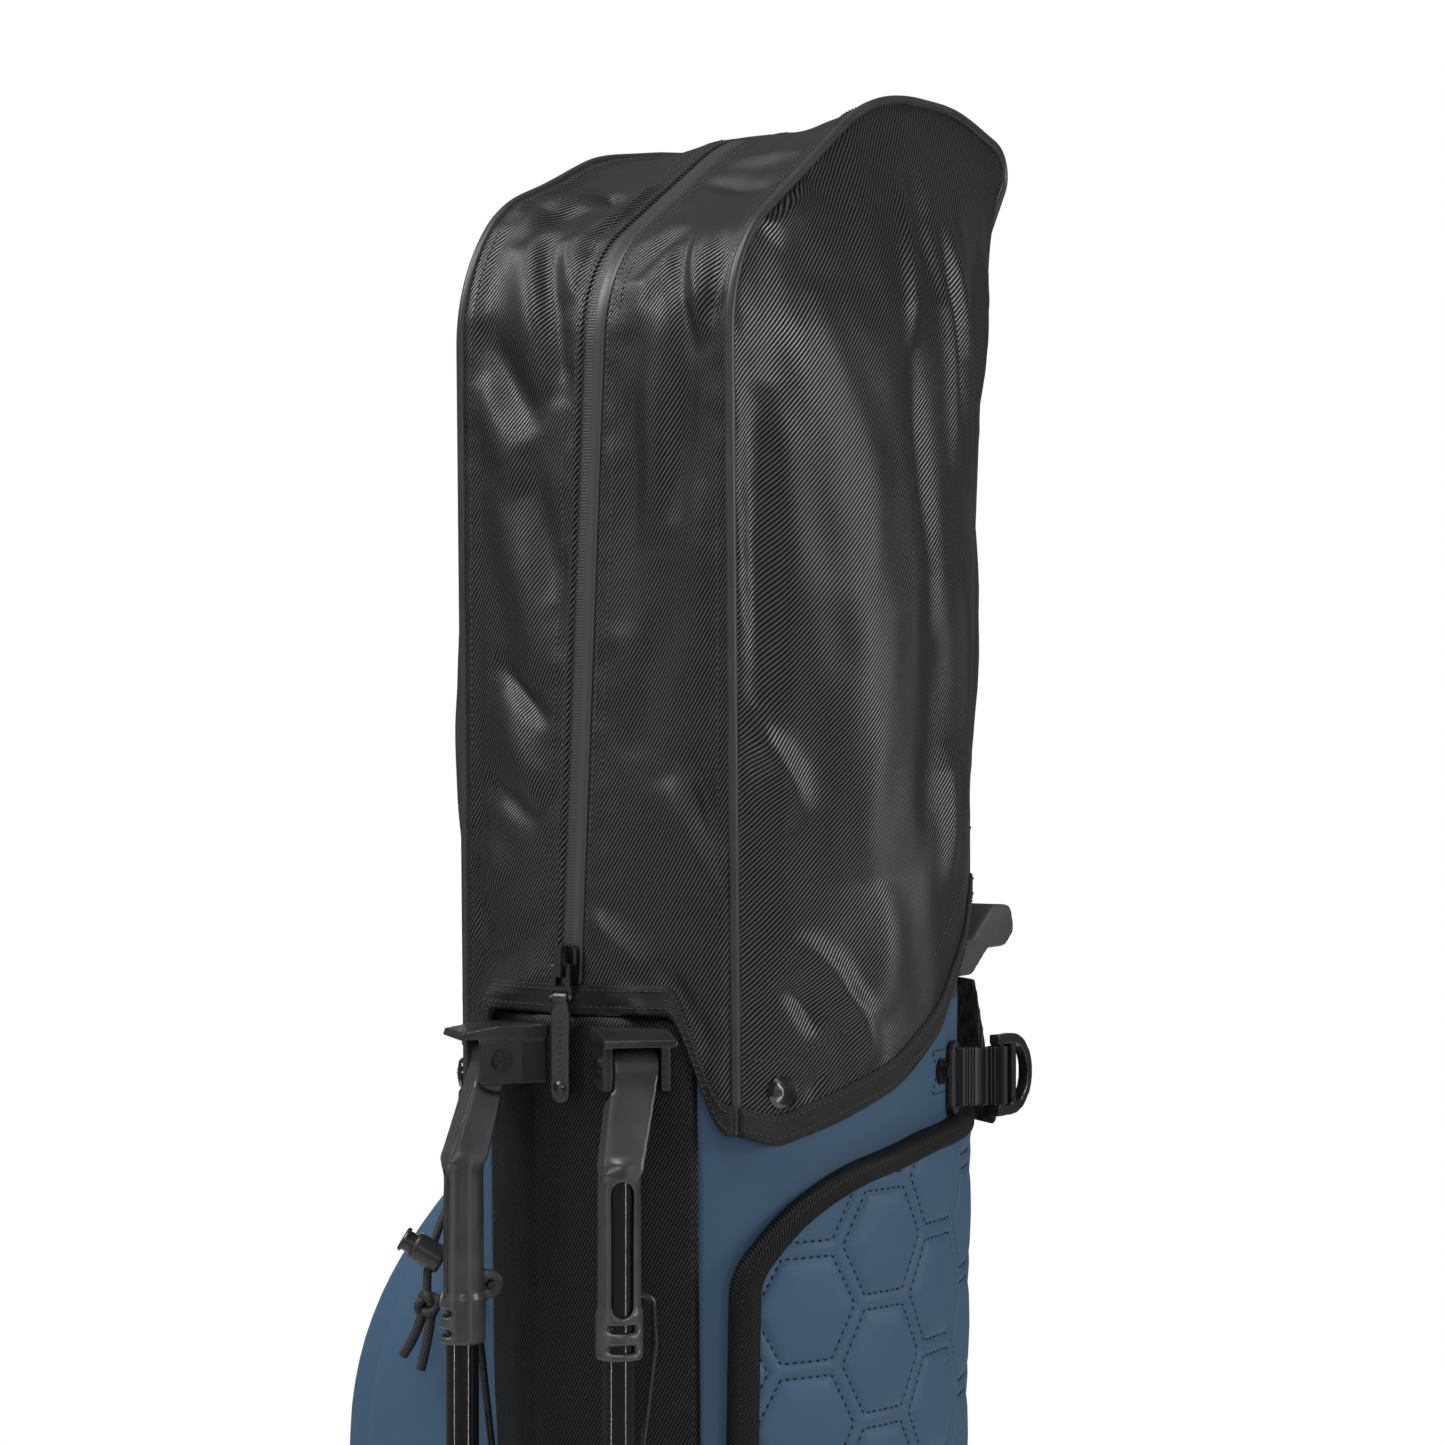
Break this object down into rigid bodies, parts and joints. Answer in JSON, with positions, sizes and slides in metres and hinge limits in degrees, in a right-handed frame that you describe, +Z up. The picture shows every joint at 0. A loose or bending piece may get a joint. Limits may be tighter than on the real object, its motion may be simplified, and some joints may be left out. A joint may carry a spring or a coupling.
{
  "type": "golf stand bag with travel hood",
  "caption": "Upright oval golf bag with a zipped fabric hood, fold-out stand legs, quilted side pocket, apparel and ball pockets and carry straps.",
  "frame": {"origin": "on the floor under the centre of the oval trunk, which is the middle of its base", "axes": "+Z up along the trunk, -Y towards the stand legs, +X towards the quilted pocket, -X towards the apparel pocket"},
  "size_m": [0.2661, 0.3226, 1.2394],
  "materials": {
    "blue_hide": "matte blue coated hide",
    "black_twill": "black twill, slightly glossy",
    "black_web": "woven black tape",
    "black_moulding": "matte black moulded nylon",
    "grey_moulding": "dark grey moulded nylon",
    "gloss_tube": "gloss black anodised",
    "black_metal": "black nickel plate",
    "spring_wire": "black oxide wire",
    "black_rubber": "moulded rubber",
    "zip_tape": "coated waterproof tape",
    "black_leather": "smooth black leather",
    "liner": "thin dark lining"
  },
  "bodies": {
    "bag": {"trunk_front_panel": "black_twill", "trunk_spine_panel": "black_twill", "trunk_right_panel": "blue_hide", "trunk_left_panel": "blue_hide", "top_collar": "black_moulding", "collar_dividers": "black_moulding", "divider_sleeves": "liner", "stay_rods": "black_moulding", "base_shell": "black_moulding", "base_hinge_pin": "black_metal", "base_sole": "black_rubber", "rod_guides": "black_moulding", "leg_bracket_right": "black_moulding", "leg_bracket_left": "black_moulding", "leg_pins": "black_metal", "body_studs": "black_metal", "quilted_pocket": "blue_hide", "quilted_pocket_binding": "black_web", "apparel_pocket": "blue_hide", "ball_pocket": "blue_hide", "pocket_zips": "zip_tape", "strap_grommets": "black_rubber", "strap_loops": "black_web", "shoulder_strap_right": "black_twill", "shoulder_strap_left": "black_twill", "strap_webbing": "black_web", "lift_handle": "grey_moulding", "drawcord": "black_web", "cord_knot": "black_web", "cord_lock_barrel": "black_moulding"},
    "right_leg": {"leg_head_right": "black_moulding", "leg_tube_right": "gloss_tube", "leg_foot_right": "black_rubber"},
    "left_leg": {"leg_head_left": "black_moulding", "leg_tube_left": "gloss_tube", "leg_foot_left": "black_rubber"},
    "right_arm": {"actuator_arm_right": "spring_wire"},
    "left_arm": {"actuator_arm_left": "spring_wire"},
    "push_rod": {"actuator_rod": "spring_wire", "actuator_yoke": "black_moulding"},
    "foot_flap": {"foot_plate": "black_moulding", "foot_plate_sole": "black_rubber", "foot_plate_pin": "black_metal"},
    "hood": {"hood_gusset": "black_twill", "hood_side_right": "black_twill", "hood_side_left": "black_twill", "hood_piping_right": "zip_tape", "hood_piping_left": "zip_tape", "hood_zip": "zip_tape", "hood_binding": "black_web", "hood_snaps": "black_metal"},
    "hood_slider": {"hood_zip_slider": "black_metal"},
    "hood_link": {"pull_link": "black_metal"},
    "hood_tab": {"pull_tab": "black_leather", "pull_rivet": "black_metal"},
    "apparel_slider": {"apparel_zip_slider": "black_metal"},
    "ball_slider": {"ball_zip_slider": "black_metal"},
    "right_buckle": {"ring_buckle_right": "black_moulding"},
    "left_buckle": {"ring_buckle_left": "black_moulding"},
    "lock_button": {"cord_lock_button": "black_moulding"}
  },
  "joints": [
    {"name": "right_leg_swing", "type": "hinge", "parent": "bag", "child": "right_leg", "pos_m": [0.033, -0.126, 0.834], "axis": [-0.7431, -0.6691, 0], "range_deg": [0, 32], "stiffness_Nm_per_rad": 0.25, "springref_deg": -34.38},
    {"name": "left_leg_swing", "type": "hinge", "parent": "bag", "child": "left_leg", "pos_m": [-0.033, -0.126, 0.834], "axis": [-0.7431, 0.6691, 0], "range_deg": [0, 32]},
    {"name": "right_arm_hinge", "type": "hinge", "parent": "right_leg", "child": "right_arm", "pos_m": [0.02963, -0.13482, 0.744], "axis": [-0.7431, -0.6691, 0], "range_deg": [-43, 0.5]},
    {"name": "left_arm_hinge", "type": "hinge", "parent": "left_leg", "child": "left_arm", "pos_m": [-0.02963, -0.13482, 0.744], "axis": [-0.7431, 0.6691, 0], "range_deg": [-43, 0.5]},
    {"name": "push_rod_slide", "type": "slide", "parent": "bag", "child": "push_rod", "axis": [0, 0, 1], "range_m": [0, 0.0257]},
    {"name": "foot_flap_hinge", "type": "hinge", "parent": "bag", "child": "foot_flap", "pos_m": [0, -0.044, 0.01], "axis": [-1, 0, 0], "range_deg": [0, 20.5]},
    {"name": "hood_lift", "type": "slide", "parent": "bag", "child": "hood", "axis": [0, 0, 1], "range_m": [0, 0.45]},
    {"name": "hood_zip_slide", "type": "slide", "parent": "hood", "child": "hood_slider", "axis": [0, 0.0588, 0.9983], "range_m": [0, 0.24]},
    {"name": "pull_link_hinge", "type": "hinge", "parent": "hood_slider", "child": "hood_link", "pos_m": [0, -0.12693, 0.87219], "axis": [-1, 0, 0], "range_deg": [0, 95]},
    {"name": "pull_tab_hinge", "type": "hinge", "parent": "hood_link", "child": "hood_tab", "pos_m": [0, -0.12693, 0.85969], "axis": [-1, 0, 0], "range_deg": [-2, 70]},
    {"name": "apparel_zip_slide", "type": "slide", "parent": "bag", "child": "apparel_slider", "axis": [0, 0, -1], "range_m": [0, 0.44]},
    {"name": "ball_zip_slide", "type": "slide", "parent": "bag", "child": "ball_slider", "axis": [1, 0, 0], "range_m": [0, 0.064]},
    {"name": "right_buckle_swing", "type": "hinge", "parent": "bag", "child": "right_buckle", "pos_m": [0.10466, 0.05646, 0.818], "axis": [0, 0, 1], "range_deg": [-20, 20]},
    {"name": "left_buckle_swing", "type": "hinge", "parent": "bag", "child": "left_buckle", "pos_m": [-0.10466, 0.05646, 0.818], "axis": [0, 0, -1], "range_deg": [-20, 20]},
    {"name": "lock_button_press", "type": "slide", "parent": "bag", "child": "lock_button", "axis": [0.7199, 0.4599, -0.5199], "range_m": [0, 0.003], "stiffness_N_per_m": 400, "springref_m": -0.001}
  ],
  "couplings": [
    {"joint": "left_leg_swing", "follows": "right_leg_swing", "ratio": 1},
    {"joint": "right_arm_hinge", "follows": "right_leg_swing", "ratio": -1.316},
    {"joint": "left_arm_hinge", "follows": "right_leg_swing", "ratio": -1.316},
    {"joint": "push_rod_slide", "follows": "right_leg_swing", "m_per_rad": 0.04584},
    {"joint": "foot_flap_hinge", "follows": "right_leg_swing", "ratio": 0.625}
  ]
}
